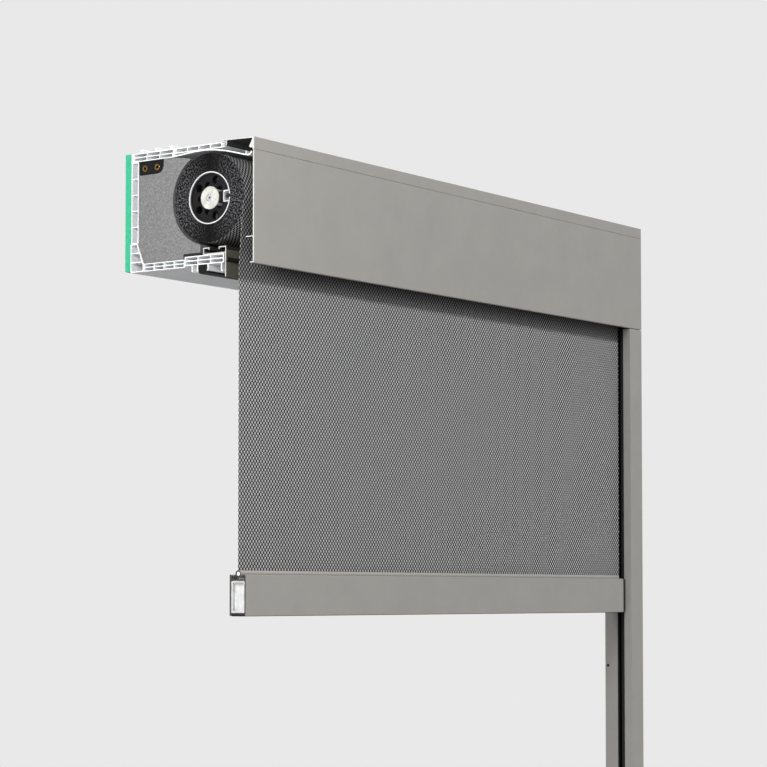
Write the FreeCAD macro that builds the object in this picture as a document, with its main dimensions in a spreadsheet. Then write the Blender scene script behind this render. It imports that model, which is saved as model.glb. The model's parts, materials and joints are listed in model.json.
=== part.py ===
import FreeCAD, Part
import math
import os

# Motorised box screen: an insulated box on top of a window, a roller with the tubular motor in it,
# the screen, its bottom bar and the right guide rail. Millimetres. X runs along the roller,
# Z is up, the weather side faces -Y. The origin is on the roller axis at the box's open end.

os.makedirs("parts", exist_ok=True)
doc = FreeCAD.newDocument("MotorisedBoxScreen")
Vector = FreeCAD.Vector
nodes = []

# ---------------------------------------------------------------- driving dimensions
dims = doc.addObject("Spreadsheet::Sheet", "dims")
D = {}
TABLE = [
    ("unit_width", 1128.8, "box width over the cover"),
    ("profile_length", 1124.8, "box profiles up to the end plate"),
    ("plate_thickness", 4.0, "end plate"),
    ("front_face", -84.0, "weather face of the cover"),
    ("back_face", 164.0, "room face of the insulation board"),
    ("box_top", 80.0, "top of the box"),
    ("box_floor", -100.0, "underside of the box"),
    ("cover_bottom", -102.3, "lower edge of the front cover"),
    ("cover_wall", 2.0, "front cover sheet"),
    ("tube_radius", 39.0, "roller tube, outside"),
    ("tube_wall", 1.6, "roller tube wall"),
    ("tube_length", 1102.0, "roller tube"),
    ("roll_radius", 66.4, "screen wound on the tube, outside"),
    ("roll_bore", 39.3, "screen wound on the tube, inside"),
    ("roll_length", 1100.0, "screen wound on the tube"),
    ("cap_radius", 37.2, "plugs inside the roller tube"),
    ("screen_plane", -59.0, "mid plane of the hanging screen"),
    ("screen_cloth", 0.8, "screen thickness"),
    ("screen_left", -3.0, "left edge of the screen and bar"),
    ("screen_width", 1103.0, "screen width"),
    ("screen_foot", -550.0, "lower edge of the screen"),
    ("bar_length", 1082.2, "bottom bar"),
    ("bar_depth", 29.5, "bottom bar, front to back"),
    ("bar_wall", 2.0, "bottom bar wall"),
    ("rail_left", 1087.4, "left edge of the guide rail"),
    ("rail_foot", -1120.0, "lower end of the guide rail"),
    ("rail_length", 1016.5, "guide rail"),
    ("rail_back", -28.4, "room face of the guide rail"),
    ("motor_radius", 22.5, "motor tube, outside"),
    ("motor_bore", 21.3, "motor tube, inside"),
    ("motor_left", 640.0, "output end of the motor tube"),
    ("motor_length", 464.6, "motor tube"),
    ("gear_module", 0.8, "gear module"),
    ("planet_orbit", 10.8, "planet centre distance"),
    ("pin_radius", 2.0, "planet pins"),
    ("axle_radius", 6.0, "idler axle pin"),
    ("axle_length", 70.0, "idler axle pin"),
    ("insert_pitch", 24.0, "distance between the brass inserts"),
    ("running_fit", 0.05, "radial clearance of turning parts"),
]
for row, (alias, value, note) in enumerate(TABLE, start=1):
    dims.set("A%d" % row, note)
    dims.set("B%d" % row, str(value))
    dims.setAlias("B%d" % row, alias)
    D[alias] = value
doc.recompute()


# ---------------------------------------------------------------- helpers
def bind(obj, prop, expression):
    obj.setExpression(prop, expression)


def keep(obj, label):
    obj.Label = label
    nodes.append(obj)
    return obj


def body(label):
    new = doc.addObject("PartDesign::Body", "body_" + label)
    return keep(new, label)


def origin_item(owner, role):
    return [item for item in owner.Origin.OriginFeatures if item.Role == role][0]


def arc_by_centre(centre, radius, start, end):
    """Three points of an arc, angles in degrees, counter-clockwise from start to end."""
    points = []
    for angle in (start, 0.5 * (start + end), end):
        a = math.radians(angle)
        points.append((centre[0] + radius * math.cos(a), centre[1] + radius * math.sin(a)))
    return points


def wire_items(wire):
    """Sketch geometry of one closed outline. A vertex ('arc', mid, end) is reached by an arc."""
    if wire[0] == "circle":
        centre = Vector(wire[1], wire[2], 0)
        return [Part.Circle(centre, Vector(0, 0, 1), wire[3])]
    items = []
    first = Vector(wire[0][0], wire[0][1], 0)
    last = first
    for vertex in list(wire[1:]) + [wire[0]]:
        if vertex[0] == "arc":
            mid = Vector(vertex[1][0], vertex[1][1], 0)
            end = Vector(vertex[2][0], vertex[2][1], 0)
            items.append(Part.Arc(last, mid, end))
        else:
            end = Vector(vertex[0], vertex[1], 0)
            if (end - last).Length > 1e-7:
                items.append(Part.LineSegment(last, end))
        last = end
    return items


def sketch(owner, wires, role="YZ_Plane", offset=0.0):
    new = owner.newObject("Sketcher::SketchObject", "sketch_" + owner.Label)
    new.AttachmentSupport = (origin_item(owner, role), "")
    new.MapMode = "FlatFace"
    new.AttachmentOffset = FreeCAD.Placement(Vector(0, 0, offset), FreeCAD.Rotation())
    for wire in wires:
        new.addGeometry(wire_items(wire), False)
    return new


def pad(owner, wires, length, alias=None, role="YZ_Plane", offset=0.0):
    new = owner.newObject("PartDesign::Pad", "pad_" + owner.Label)
    new.Profile = sketch(owner, wires, role, offset)
    new.Length = length
    if alias:
        bind(new, "Length", "dims." + alias)
    owner.Tip = new
    return new


def pocket(owner, wires, depth, role="YZ_Plane", offset=0.0):
    """Cut from the sketch plane at the offset towards its positive normal."""
    new = owner.newObject("PartDesign::Pocket", "pocket_" + owner.Label)
    new.Profile = sketch(owner, wires, role, offset)
    new.Length = depth
    new.Reversed = True
    owner.Tip = new
    return new


def revolve(owner, wires):
    """Turn an outline of (x, radius) points about the roller axis."""
    new = owner.newObject("PartDesign::Revolution", "turn_" + owner.Label)
    new.Profile = sketch(owner, wires, "XY_Plane")
    new.ReferenceAxis = (origin_item(owner, "X_Axis"), [""])
    new.Angle = 360
    owner.Tip = new
    return new


def rect(a, b, c, d):
    """Rectangle from corner (a, b) to corner (c, d)."""
    return [(a, b), (c, b), (c, d), (a, d)]


def cells(a, b, c, d, count, web):
    """A row of equal chambers between two corners, parted by webs, along the first axis."""
    pitch = (c - a + web) / count
    return [rect(a + i * pitch, b, a + (i + 1) * pitch - web, d) for i in range(count)]


def cells_up(a, b, c, d, count, web):
    """A column of equal chambers between two corners, parted by webs, along the second axis."""
    pitch = (d - b + web) / count
    return [rect(a, b + i * pitch, c, b + (i + 1) * pitch - web) for i in range(count)]


def band(points, width):
    """Outline of a strip of constant width along a centre line."""
    left, right = [], []
    for i, (u, v) in enumerate(points):
        before = points[max(i - 1, 0)]
        after = points[min(i + 1, len(points) - 1)]
        a = math.atan2(v - before[1], u - before[0]) if i else None
        b = math.atan2(after[1] - v, after[0] - u) if i < len(points) - 1 else None
        a = b if a is None else a
        b = a if b is None else b
        turn = math.atan2(math.sin(b - a), math.cos(b - a))
        normal = a + 0.5 * turn + 0.5 * math.pi
        reach = 0.5 * width / max(math.cos(0.5 * turn), 0.3)
        left.append((u + reach * math.cos(normal), v + reach * math.sin(normal)))
        right.append((u - reach * math.cos(normal), v - reach * math.sin(normal)))
    return left + right[::-1]


def ring_points(radius, count, start=0.0):
    angles = [start + 2 * math.pi * i / count for i in range(count)]
    return [(radius * math.cos(a), radius * math.sin(a)) for a in angles]


def box(name, x, y, z, dx, dy, dz):
    new = doc.addObject("Part::Box", name)
    new.Length = dx
    new.Width = dy
    new.Height = dz
    new.Placement = FreeCAD.Placement(Vector(x, y, z), FreeCAD.Rotation())
    return new


def rod(name, radius, start, axis, length):
    """Cylinder from a start point along an axis."""
    new = doc.addObject("Part::Cylinder", name)
    new.Radius = radius
    new.Height = length
    new.Placement = FreeCAD.Placement(Vector(*start), FreeCAD.Rotation(Vector(0, 0, 1), Vector(*axis)))
    return new


def fuse(name, shapes):
    new = doc.addObject("Part::MultiFuse", name)
    new.Shapes = shapes
    new.Refine = True
    return new


def cut(name, base, tool):
    new = doc.addObject("Part::Cut", name)
    new.Base = base
    new.Tool = tool
    return new


def compound(name, shapes):
    new = doc.addObject("Part::Compound", name)
    new.Links = shapes
    return new


# ---------------------------------------------------------------- box profiles
LENGTH = D["profile_length"]
WIDTH = D["unit_width"]

# Top profile: one row of chambers in front, two behind, a long bowed lip under it and three
# T-shaped plaster keys on top.
top_profile = body("top_profile")
TOP_OUTLINE = [
    (-24, 72), (-24, 72.6), (-30, 72.6), (-30, 74), (-24, 74), (-24, 76.2), (-29, 76.2), (-29, 77.5),
    (-24, 77.5), (-24, 80), (74.2, 80), (74.2, 83.5), (71.6, 83.5), (71.6, 84.7), (80.4, 84.7),
    (80.4, 83.5), (75.8, 83.5), (75.8, 80), (103.2, 80), (103.2, 83.5), (100.8, 83.5), (100.8, 84.7),
    (107.2, 84.7), (107.2, 83.5), (104.8, 83.5), (104.8, 80), (132.2, 80), (132.2, 83.5), (129.8, 83.5),
    (129.8, 84.7), (136.2, 84.7), (136.2, 83.5), (133.8, 83.5), (133.8, 80), (148, 80), (148, 67),
    (70, 67), (66, 72),
]
top_cells = cells(-22.6, 73.4, 64, 78.6, 4, 1.4)
top_cells += cells(70.5, 74.2, 146.6, 78.6, 3, 1.4)
top_cells += cells(72, 68.4, 146.6, 72.8, 3, 1.4)
pad(top_profile, [TOP_OUTLINE] + top_cells, LENGTH, "profile_length")
LIP = [
    (72, 67.9), (53, 69.4), (30, 71.3), (8, 71.6), (-10, 70.2), (-30, 66.9), (-50, 62.0), (-66, 57.6),
    (-73, 56.2), (-77.5, 57.8), (-79.3, 61.2),
]
pad(top_profile, [band(LIP, 1.8)], LENGTH, "profile_length")
pad(top_profile, [rect(-69.8, 57.6, -68.2, 62.4)], LENGTH, "profile_length")

# Front top profile: flange, hooked joint to the top profile, and the drip edge above the cover.
front_top = body("front_top_profile")
FRONT_TOP = [
    (-26, 83.4), (-84, 82), (-84, 64), (-81, 64), (-81, 66.5), (-76.5, 66.5), (-74.5, 68.5),
    (-80.2, 78.5), (-80, 80.5), (-33, 81.7), (-33, 74.5), (-27, 74.5), (-27, 75.7), (-31.6, 75.7),
    (-31.6, 81.8), (-26, 81.9),
]
pad(front_top, [FRONT_TOP], WIDTH, "unit_width")

# Front cover: flat sheet with a stiffening rib and a returned lower edge.
front_cover = body("front_cover")
FACE = D["front_face"]
INNER = FACE + D["cover_wall"]
FOOT = D["cover_bottom"]
FRONT_COVER = [
    (FACE, 63.6), (INNER, 63.6), (INNER, FOOT + 1.7), (-77, FOOT + 1.7), (-77, FOOT), (FACE, FOOT),
]
pad(front_cover, [FRONT_COVER], WIDTH, "unit_width")
pad(front_cover, [rect(INNER - 0.5, -64.3, -69, -62.8)], LENGTH, "profile_length")

# Rear wall of the box: chambered profile and its chambered foot.
rear_profile = body("rear_profile")
REAR = [
    (138, 66.6), (148.4, 66.6), (148.4, 80), (152, 80), (152, -56.6), (138, -56.6),
]
pad(rear_profile, [REAR] + cells_up(139.5, -55.1, 150.5, 65.1, 5, 1.4), LENGTH, "profile_length")

rear_foot = body("rear_foot_profile")
REAR_FOOT = [(153.5, -57), (140, -57), (127.5, -88), (127.5, -100), (153.5, -100)]
foot_cells = [
    [(151.9, -58.6), (141.4, -58.6), (136.9, -70.2), (151.9, -70.2)],
    [(151.9, -71.8), (136.2, -71.8), (131.3, -84.2), (151.9, -84.2)],
    [(151.9, -85.8), (130.6, -85.8), (129.2, -89.0), (129.2, -98.4), (151.9, -98.4)],
]
pad(rear_foot, [REAR_FOOT] + foot_cells, LENGTH, "profile_length")

bottom_profile = body("bottom_profile")
bottom_cells = cells(48.6, -93.2, 125.7, -89.4, 4, 1.6)
bottom_cells += cells(48.6, -98.6, 125.7, -94.6, 4, 1.6)
pad(bottom_profile, [rect(47.2, -100, 127.1, -88)] + bottom_cells, LENGTH, "profile_length")

# Adapter between box and window frame, with two clip legs and two legs round the black clip.
adapter = body("adapter_profile")
ADAPTER = [
    (-27.6, -84.2), (46.8, -84.2), (46.8, -98), (33.6, -98), (33.6, -107), (31, -108.6), (31, -106),
    (32, -105), (32, -98), (23.4, -98), (23.4, -107.4), (20.6, -107.4), (20.6, -106), (21.8, -106),
    (21.8, -98), (3.2, -98), (3.2, -106), (4.4, -106), (4.4, -107.4), (1.6, -107.4), (1.6, -98),
    (-22.4, -98), (-22.4, -108), (-23.4, -110), (-25, -111), (-26, -110.4), (-24, -107), (-24, -98),
    (-27.6, -98),
]
adapter_cells = cells(-26.1, -90.2, 45.3, -85.7, 3, 1.5)
adapter_cells += cells(-26.1, -96.5, 45.3, -91.7, 3, 1.5)
pad(adapter, [ADAPTER] + adapter_cells, LENGTH, "profile_length")

frame_clip = body("frame_clip")
CLIP = [(5, -98.2), (20, -98.2), (20, -110), (16, -112), (9, -112), (5, -110)]
pad(frame_clip, [CLIP], LENGTH, "profile_length")

adapter_gasket = body("adapter_gasket")
pad(adapter_gasket, [rect(12.4, -84.1, 48.6, -80.2)], LENGTH, "profile_length")

# Sill profile: C-shaped channel in front of the adapter with a long leg towards the screen.
sill = body("sill_profile")
SILL_LEG = [(-18.8, -77.4), (-18.8, -74.4), (-31.2, -74.4), (-31.2, -119)]
SILL_HOOK = [(-31.2, -83.2), (10.6, -83.2), (10.6, -74.4), (0.2, -74.4), (0.2, -77.4)]
pad(sill, [band(SILL_LEG, 1.6)], LENGTH, "profile_length")
pad(sill, [band(SILL_HOOK, 1.6)], LENGTH, "profile_length")
pocket(sill, [rect(-34, -102.2, -29, -121)], 40.0, offset=D["rail_left"] + 1.6)

sill_seal = body("sill_seal")
SILL_SEAL = [(-32, -97), (-32, -90), (-34.6, -91.2), (-35.4, -93.5), (-34.6, -95.8)]
pad(sill_seal, [SILL_SEAL], LENGTH, "profile_length")

# Insulation: hard green board behind the box, foam body with the roller bay in front.
board = body("insulation_board")
BACK = D["back_face"]
BOARD = [(152, 80), (BACK, 80), (BACK, -98), (153.5, -98), (153.5, -57), (152, -57)]
pad(board, [BOARD], LENGTH, "profile_length")

foam = body("foam_insert")
BAY = 70.4
bay_start = -math.degrees(math.asin(math.sqrt(BAY ** 2 - 17.0 ** 2) / BAY))
bay_end = math.degrees(math.atan2(59.8, 36.6))
bay = arc_by_centre((0, 0), BAY, bay_start, bay_end)
FOAM = [
    bay[0], ("arc", bay[1], bay[2]), (38.5, 62.0), (66, 66.2), (88.4, 66.2), (88.4, 58.2),
    ("arc", (92.09, 49.29), (101, 45.6)), (137, 45.6),
    (137, -62.5), (126.8, -87.6), (49.4, -87.6), (49.4, -79.8), (17, -79.8),
]
pad(foam, [FOAM], LENGTH, "profile_length")

# Fixing block for the side cheek, with two threaded brass inserts.
block = body("fixing_block")
INSERT_Z = 55.6
INSERTS = [101.7, 101.7 + D["insert_pitch"]]
BLOCK = [(136.6, 66.4), (89, 66.4), (89, 58.2), ("arc", (92.6, 49.8), (101, 46.2)), (136.6, 46.2)]
pad(block, [BLOCK] + [("circle", y, INSERT_Z, 4.85) for y in INSERTS], 120.0)

insert_parts = []
for index, y in enumerate(INSERTS):
    sleeve = rod("insert_sleeve_%d" % index, 4.8, (0, y, INSERT_Z), (1, 0, 0), 24)
    thread = rod("insert_thread_%d" % index, 2.55, (-1, y, INSERT_Z), (1, 0, 0), 26)
    insert_parts.append(cut("insert_%d" % index, sleeve, thread))
keep(compound("inserts", insert_parts), "brass_inserts")

# ---------------------------------------------------------------- end plate and its hardware
PLATE_X = LENGTH
end_plate = body("end_plate")
PLATE = [
    (-82, -100), (-82, 54), (-72.5, 56.5), (-72.5, 65.6), (-69, 70), (-76, 79.9), (-35, 80.9), (-35, 73.6),
    (-25, 73.6), (-25, 80), (BACK, 80), (BACK, -100),
]
BRACKET_SCREWS = [(-26, 22), (26, 22), (26, -22), (-26, -22)]
plate_holes = [("circle", y, z, 2.25) for y, z in BRACKET_SCREWS + [(118, 20), (118, -40)]]
pad(end_plate, [PLATE] + plate_holes, D["plate_thickness"], "plate_thickness", offset=PLATE_X)
bind(end_plate, "Placement.Base.x", "dims.profile_length - %s" % PLATE_X)

bracket = body("motor_bracket")
pad(bracket, [rect(-34, -30, 34, 30), rect(-8.1, -8.1, 8.1, 8.1)]
    + [("circle", y, z, 2.6) for y, z in BRACKET_SCREWS], 3.0, offset=PLATE_X - 3.0)
pad(bracket, [rect(-12, -12, 12, 12), rect(-8.1, -8.1, 8.1, 8.1)], 2.6, offset=PLATE_X - 5.6)

screws = []
for index, (y, z) in enumerate(BRACKET_SCREWS):
    head = rod("bracket_head_%d" % index, 4.2, (PLATE_X - 5.4, y, z), (1, 0, 0), 2.4)
    shank = rod("bracket_shank_%d" % index, 2.2, (PLATE_X - 3.2, y, z), (1, 0, 0), 7.2)
    slot = box("bracket_slot_%d" % index, PLATE_X - 5.5, y - 3.0, z - 0.5, 1.2, 6.0, 1.0)
    screws.append(cut("bracket_screw_%d" % index, fuse("bracket_bolt_%d" % index, [head, shank]), slot))
keep(compound("bracket_screw_set", screws), "bracket_screws")

# ---------------------------------------------------------------- roller
KEY_DEPTH = 12.5
KEY_HALF = 8.5
TUBE_R = D["tube_radius"]
TUBE_IN = TUBE_R - D["tube_wall"]

# Roller tube: round tube with an inward keyway on the weather side.
tube = body("roller_tube")
SLOT_HALF = 2.6
a_out = math.degrees(math.asin(SLOT_HALF / TUBE_R))
a_in = math.degrees(math.asin(KEY_HALF / TUBE_IN))
outer = arc_by_centre((0, 0), TUBE_R, -180 + a_out, 180 - a_out)
inner = arc_by_centre((0, 0), TUBE_IN, 180 - a_in, -180 + a_in)
key_floor = -TUBE_R + KEY_DEPTH
TUBE_SECTION = [
    outer[0], ("arc", outer[1], outer[2]),
    (-37.5, SLOT_HALF), (-37.5, KEY_HALF - 1.5), (key_floor - 1.5, KEY_HALF - 1.5),
    (key_floor - 1.5, -KEY_HALF + 1.5), (-37.5, -KEY_HALF + 1.5), (-37.5, -SLOT_HALF),
]
inner_loop = [
    inner[0], ("arc", inner[1], inner[2]), (key_floor, -KEY_HALF), (key_floor, KEY_HALF),
]
pad(tube, [TUBE_SECTION, inner_loop], D["tube_length"], "tube_length")

# Screen wound on the tube.
roll = body("fabric_roll")
roll_rings = [("circle", 0, 0, D["roll_radius"]), ("circle", 0, 0, D["roll_bore"])]
pad(roll, roll_rings, D["roll_length"], "roll_length")

# Keder that locks the screen in the keyway.
keder = body("tube_keder")
pad(keder, [("circle", -33.4, 0, 3.6)], 1096.0, offset=1.0)

# Idler cap: black plug with a web, four round holes, five small ports and a raised boss.
cap = body("idler_cap")
CAP_R = D["cap_radius"]
revolve(cap, [[
    (1.5, CAP_R), (26, CAP_R), (26, 34.6), (12, 34.6), (12, 21), (26, 21), (26, 17.1), (2.2, 17.1),
    (2.2, 21), (3.6, 21), (3.6, 34.6), (1.5, 34.6),
]])
keyway = rect(-41, -KEY_HALF - 0.3, key_floor + 0.3, KEY_HALF + 0.3)
pocket(cap, [keyway], 30.0)
HOLE_STEP = math.radians(72)
for index in range(1, 5):
    angle = math.pi + index * HOLE_STEP
    pocket(cap, [("circle", 27.8 * math.cos(angle), 27.8 * math.sin(angle), 6.2)], 30.0)
for index in range(5):
    angle = math.pi + (index + 0.5) * HOLE_STEP
    pocket(cap, [("circle", 21.0 * math.cos(angle), 21.0 * math.sin(angle), 4.6)], 13.0)

# Idler bearing: cream plastic bush that carries the axle pin.
bearing = body("idler_bearing")
AXLE = D["axle_radius"]
BORE = AXLE + D["running_fit"]
revolve(bearing, [[
    (0.2, 16.2), (1.0, 17.0), (24, 17.0), (24, BORE), (-0.3, BORE), (-0.3, 9.5), (0.6, 10.5), (0.6, 13.5),
    (0.2, 14.0),
]])

# Telescopic axle pin with its stop collar.
axle = body("idler_pin")
revolve(axle, [[
    (0.4, 0), (0.4, AXLE - 1.0), (1.4, AXLE), (44, AXLE), (44, 9), (48, 9), (48, AXLE),
    (D["axle_length"], AXLE), (D["axle_length"], 0),
]])
pocket(axle, [("circle", 0, 0, 2.1)], 14.0)

# Crown ring that carries the tube on the motor neck.
NECK = D["motor_radius"] + D["running_fit"]
crown = body("crown_ring")
revolve(crown, [[(1076, CAP_R), (1102, CAP_R), (1102, 38.9), (1104.4, 38.9), (1104.4, NECK), (1076, NECK)]])
pocket(crown, [keyway], 27.0, offset=1075.0)

# Drive adapter between the output shaft and the tube.
drive = body("drive_adapter")
SQUARE = 6.0
revolve(drive, [[(612, CAP_R), (634, CAP_R), (634, 10.5), (612, 10.5)]])
pocket(drive, [keyway], 24.0, offset=611.0)
square_hole = rect(-SQUARE - 0.03, -SQUARE - 0.03, SQUARE + 0.03, SQUARE + 0.03)
pad(drive, [("circle", 0, 0, 11), square_hole], 22.0, offset=612.0)
for index in range(5):
    angle = math.pi + (index + 0.5) * HOLE_STEP
    pocket(drive, [("circle", 23.5 * math.cos(angle), 23.5 * math.sin(angle), 6.0)], 24.0, offset=611.0)


# ---------------------------------------------------------------- gears
MODULE = D["gear_module"]
SUN_TEETH = 9
PLANET_TEETH = 18
RING_TEETH = SUN_TEETH + 2 * PLANET_TEETH
SUN_THINNING = 0.30
PLANET_THINNING = 0.24
RING_WIDENING = 0.16
TIP = 0.70
ROOT = 0.95


def tooth_outline(teeth, add, ded, thin, phase=0.0, centre=(0.0, 0.0)):
    """Closed outline of straight-flanked teeth on a pitch circle. The first tooth is at the phase."""
    pitch_radius = 0.5 * MODULE * teeth
    half = 0.25 * math.pi * MODULE - 0.5 * thin
    slope = math.tan(math.radians(20))
    points = []
    for i in range(teeth):
        mid = phase + 2 * math.pi * i / teeth
        for reach, side in ((-ded, -1), (add, -1), (add, 1), (-ded, 1)):
            radius = pitch_radius + reach
            width = max(half - reach * slope, 0.1)
            a = mid + side * width / radius
            points.append((centre[0] + radius * math.cos(a), centre[1] + radius * math.sin(a)))
    return points


def sun_outline(phase=0.0):
    return tooth_outline(SUN_TEETH, TIP, ROOT, SUN_THINNING, phase)


ring_gear = body("ring_gear")
ring_inside = tooth_outline(RING_TEETH, 1.0, TIP, -RING_WIDENING, math.pi / RING_TEETH)
pad(ring_gear, [("circle", 0, 0, D["motor_bore"] - 0.05), ring_inside], 46.0, offset=768.0)

ORBIT = D["planet_orbit"]
PIN = D["pin_radius"]
PLANET_ANGLES = [2 * math.pi * i / 3 for i in range(3)]
STAGES = [("out", 773.0, 12.0), ("in", 799.5, 11.0)]
for stage, x, width in STAGES:
    for letter, angle in zip("abc", PLANET_ANGLES):
        planet = body("planet_%s_%s" % (stage, letter))
        place = (ORBIT * math.cos(angle), ORBIT * math.sin(angle))
        phase = angle + math.pi / PLANET_TEETH
        teeth = tooth_outline(PLANET_TEETH, TIP, ROOT, PLANET_THINNING, phase, place)
        pad(planet, [teeth, ("circle", place[0], place[1], PIN + D["running_fit"])], width, offset=x)


def add_pins(owner, x, length):
    for angle in PLANET_ANGLES:
        pad(owner, [("circle", ORBIT * math.cos(angle), ORBIT * math.sin(angle), PIN)], length, offset=x)


# Output shaft with its planet carrier and square end.
output = body("output_shaft")
revolve(output, [[(639, 0), (639, 8), (757, 8), (757, 15), (770, 15), (770, 0)]])
pad(output, [rect(-SQUARE, -SQUARE, SQUARE, SQUARE)], 33.6, offset=606.0)
add_pins(output, 769.5, 16.5)

# First stage carrier with the second sun.
carrier = body("carrier_in")
revolve(carrier, [[(771, 0), (771, 2.6), (788.5, 2.6), (788.5, 14.2), (796.5, 14.2), (796.5, 0)]])
pad(carrier, [sun_outline()], 15.0, offset=771.5)
add_pins(carrier, 796.0, 16.0)

# Rotor with shaft, first sun and brake disc.
rotor = body("rotor_shaft")
revolve(rotor, [[
    (798, 0), (798, 2.6), (816, 2.6), (816, 3.0), (862, 3.0), (862, 11.7), (958, 11.7), (958, 3.0),
    (983, 3.0), (983, 15.5), (986, 15.5), (986, 3.0), (990, 3.0), (990, 0),
]])
pad(rotor, [sun_outline()], 14.0, offset=798.5)

# ---------------------------------------------------------------- motor body
M_OUT = D["motor_radius"]
M_IN = D["motor_bore"]
M_LEFT = D["motor_left"]
motor_tube = body("motor_tube")
motor_rings = [("circle", 0, 0, M_OUT), ("circle", 0, 0, M_IN)]
pad(motor_tube, motor_rings, D["motor_length"], "motor_length", offset=M_LEFT)

# Output bush and the two rotor bearing shields.
bearings = []
for index, (x, width, bore) in enumerate(((M_LEFT, 36.0, 8.05), (830.0, 8.0, 3.05), (970.0, 8.0, 3.05))):
    ring = rod("bearing_ring_%d" % index, M_IN - 0.02, (x, 0, 0), (1, 0, 0), width)
    hole = rod("bearing_hole_%d" % index, bore, (x - 1, 0, 0), (1, 0, 0), width + 2)
    bearings.append(cut("bearing_shield_%d" % index, ring, hole))
keep(compound("bearing_set", bearings), "motor_bearings")

stator = body("stator")
slots = [("circle", y, z, 2.2) for y, z in ring_points(16.2, 12)]
pad(stator, [("circle", 0, 0, M_IN - 0.02), ("circle", 0, 0, 12.2)] + slots, 98.0, offset=861.0)

windings = []
for index, x in enumerate((848.0, 959.2)):
    coil = rod("coil_ring_%d" % index, 19.2, (x, 0, 0), (1, 0, 0), 9.6)
    hole = rod("coil_hole_%d" % index, 13.0, (x - 1, 0, 0), (1, 0, 0), 12)
    windings.append(cut("coil_end_%d" % index, coil, hole))
for index, (y, z) in enumerate(ring_points(16.2, 12)):
    windings.append(rod("coil_bar_%d" % index, 2.0, (850, y, z), (1, 0, 0), 114))
keep(fuse("winding_set", windings), "stator_windings")

brake = body("brake_coil")
revolve(brake, [[(986.8, 19), (1003, 19), (1003, 5), (998, 5), (998, 15), (988, 15.9), (986.8, 15.9)]])

capacitor = body("capacitor")
revolve(capacitor, [[(1006, 0), (1006, 15.5), (1040, 15.5), (1041, 14.5), (1041, 0)]])
pad(capacitor, [rect(-6, -2.5, -5.2, 2.5)], 4.0, offset=1040.5)
pad(capacitor, [rect(5.2, -2.5, 6, 2.5)], 4.0, offset=1040.5)

# Limit switch unit: two cam wheels and two switch blocks on a chassis.
switch_parts = [
    box("switch_chassis", 1048, -14, -15, 42, 28, 6),
    box("switch_end_left", 1048, -13, -9.5, 3, 26, 24),
    box("switch_end_right", 1087, -13, -9.5, 3, 26, 24),
    rod("switch_axle", 2.0, (1050, 0, 4), (1, 0, 0), 38),
    rod("switch_cam_a", 10.0, (1056, 0, 4), (1, 0, 0), 7),
    rod("switch_cam_b", 10.0, (1072, 0, 4), (1, 0, 0), 7),
    box("switch_block_a", 1054, -15, -9.5, 11, 12, 4),
    box("switch_block_b", 1070, -15, -9.5, 11, 12, 4),
]
keep(fuse("switch_unit", switch_parts), "limit_switch_unit")

# Motor head: spigot, flange and square stub in the bracket.
head = body("motor_head")
HEAD_X = 1104.7
STUB = 8.0
revolve(head, [[
    (1094, 0), (1094, M_IN - 0.05), (HEAD_X, M_IN - 0.05), (HEAD_X, 31), (1106, 32), (1115, 32),
    (1116.2, 31), (1116.2, 0),
]])
pad(head, [rect(-STUB, -STUB, STUB, STUB)], LENGTH - 0.1 - 1116.0, offset=1116.0)
BUTTON_X = 1110.6
BUTTONS = [("limit_button_upper", -8.0), ("limit_button_lower", 8.0)]
BUTTON_R = 2.6
for label, y in BUTTONS:
    pocket(head, [("circle", BUTTON_X, y, BUTTON_R + 0.05)], 20.0, role="XY_Plane", offset=-34.0)
pocket(head, [rect(1106.2, 20.0, 1115.0, 34.0)], 13.0, role="XY_Plane", offset=-6.5)

for label, y in BUTTONS:
    button = rod("stem_" + label, BUTTON_R, (BUTTON_X, y, -32.8), (0, 0, 1), 16.0)
    dome = doc.addObject("Part::Sphere", "dome_" + label)
    dome.Radius = BUTTON_R
    dome.Placement = FreeCAD.Placement(Vector(BUTTON_X, y, -32.8), FreeCAD.Rotation())
    keep(fuse("button_" + label, [button, dome]), label)

# Cable socket in the head's side: a shell with four contacts.
shell = box("socket_shell", 1106.3, 20.1, -6.4, 8.6, 12.6, 12.8)
hollow = box("socket_hollow", 1107.5, 22.0, -5.2, 6.2, 12.0, 10.4)
contacts = [rod("contact_%d" % i, 0.7, (1110.6, 21.0, -3.6 + 2.4 * i), (0, 1, 0), 9) for i in range(4)]
keep(fuse("socket_set", [cut("socket_body", shell, hollow)] + contacts), "cable_socket")

# ---------------------------------------------------------------- screen and bottom bar
PLANE = D["screen_plane"]
CLOTH = D["screen_cloth"]
LEFT = D["screen_left"]
BAR_TOP = -561.7
BAR_FOOT = -614.7

screen = body("screen_fabric")
SCREEN = [(PLANE, D["screen_foot"]), (PLANE, -106), (-66.75, -6.5)]
pad(screen, [band(SCREEN, CLOTH)], D["screen_width"], "screen_width", offset=LEFT)

bar = body("bottom_bar")
BAR_FRONT = PLANE + 1.1 - 0.5 * D["bar_depth"]
BAR_BACK = BAR_FRONT + D["bar_depth"]
WALL = D["bar_wall"]
BAR_SECTION = [
    (BAR_FRONT, BAR_FOOT), (BAR_FRONT, -555.5), (BAR_FRONT + 1.2, -555.0), (BAR_FRONT + 3.4, -556.4),
    (BAR_FRONT + 3.4, -558.0), (BAR_FRONT + WALL, -558.0), (BAR_FRONT + WALL, BAR_TOP),
    (BAR_BACK - WALL, BAR_TOP), (BAR_BACK - WALL, -558.0), (BAR_BACK - 3.4, -558.0),
    (BAR_BACK - 3.4, -556.4), (BAR_BACK - 1.2, -555.0), (BAR_BACK, -555.5), (BAR_BACK, BAR_FOOT),
    (BAR_BACK - WALL, BAR_FOOT), (BAR_BACK - WALL, -612.5), (BAR_FRONT + WALL, -612.5),
    (BAR_FRONT + WALL, BAR_FOOT),
]
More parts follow.
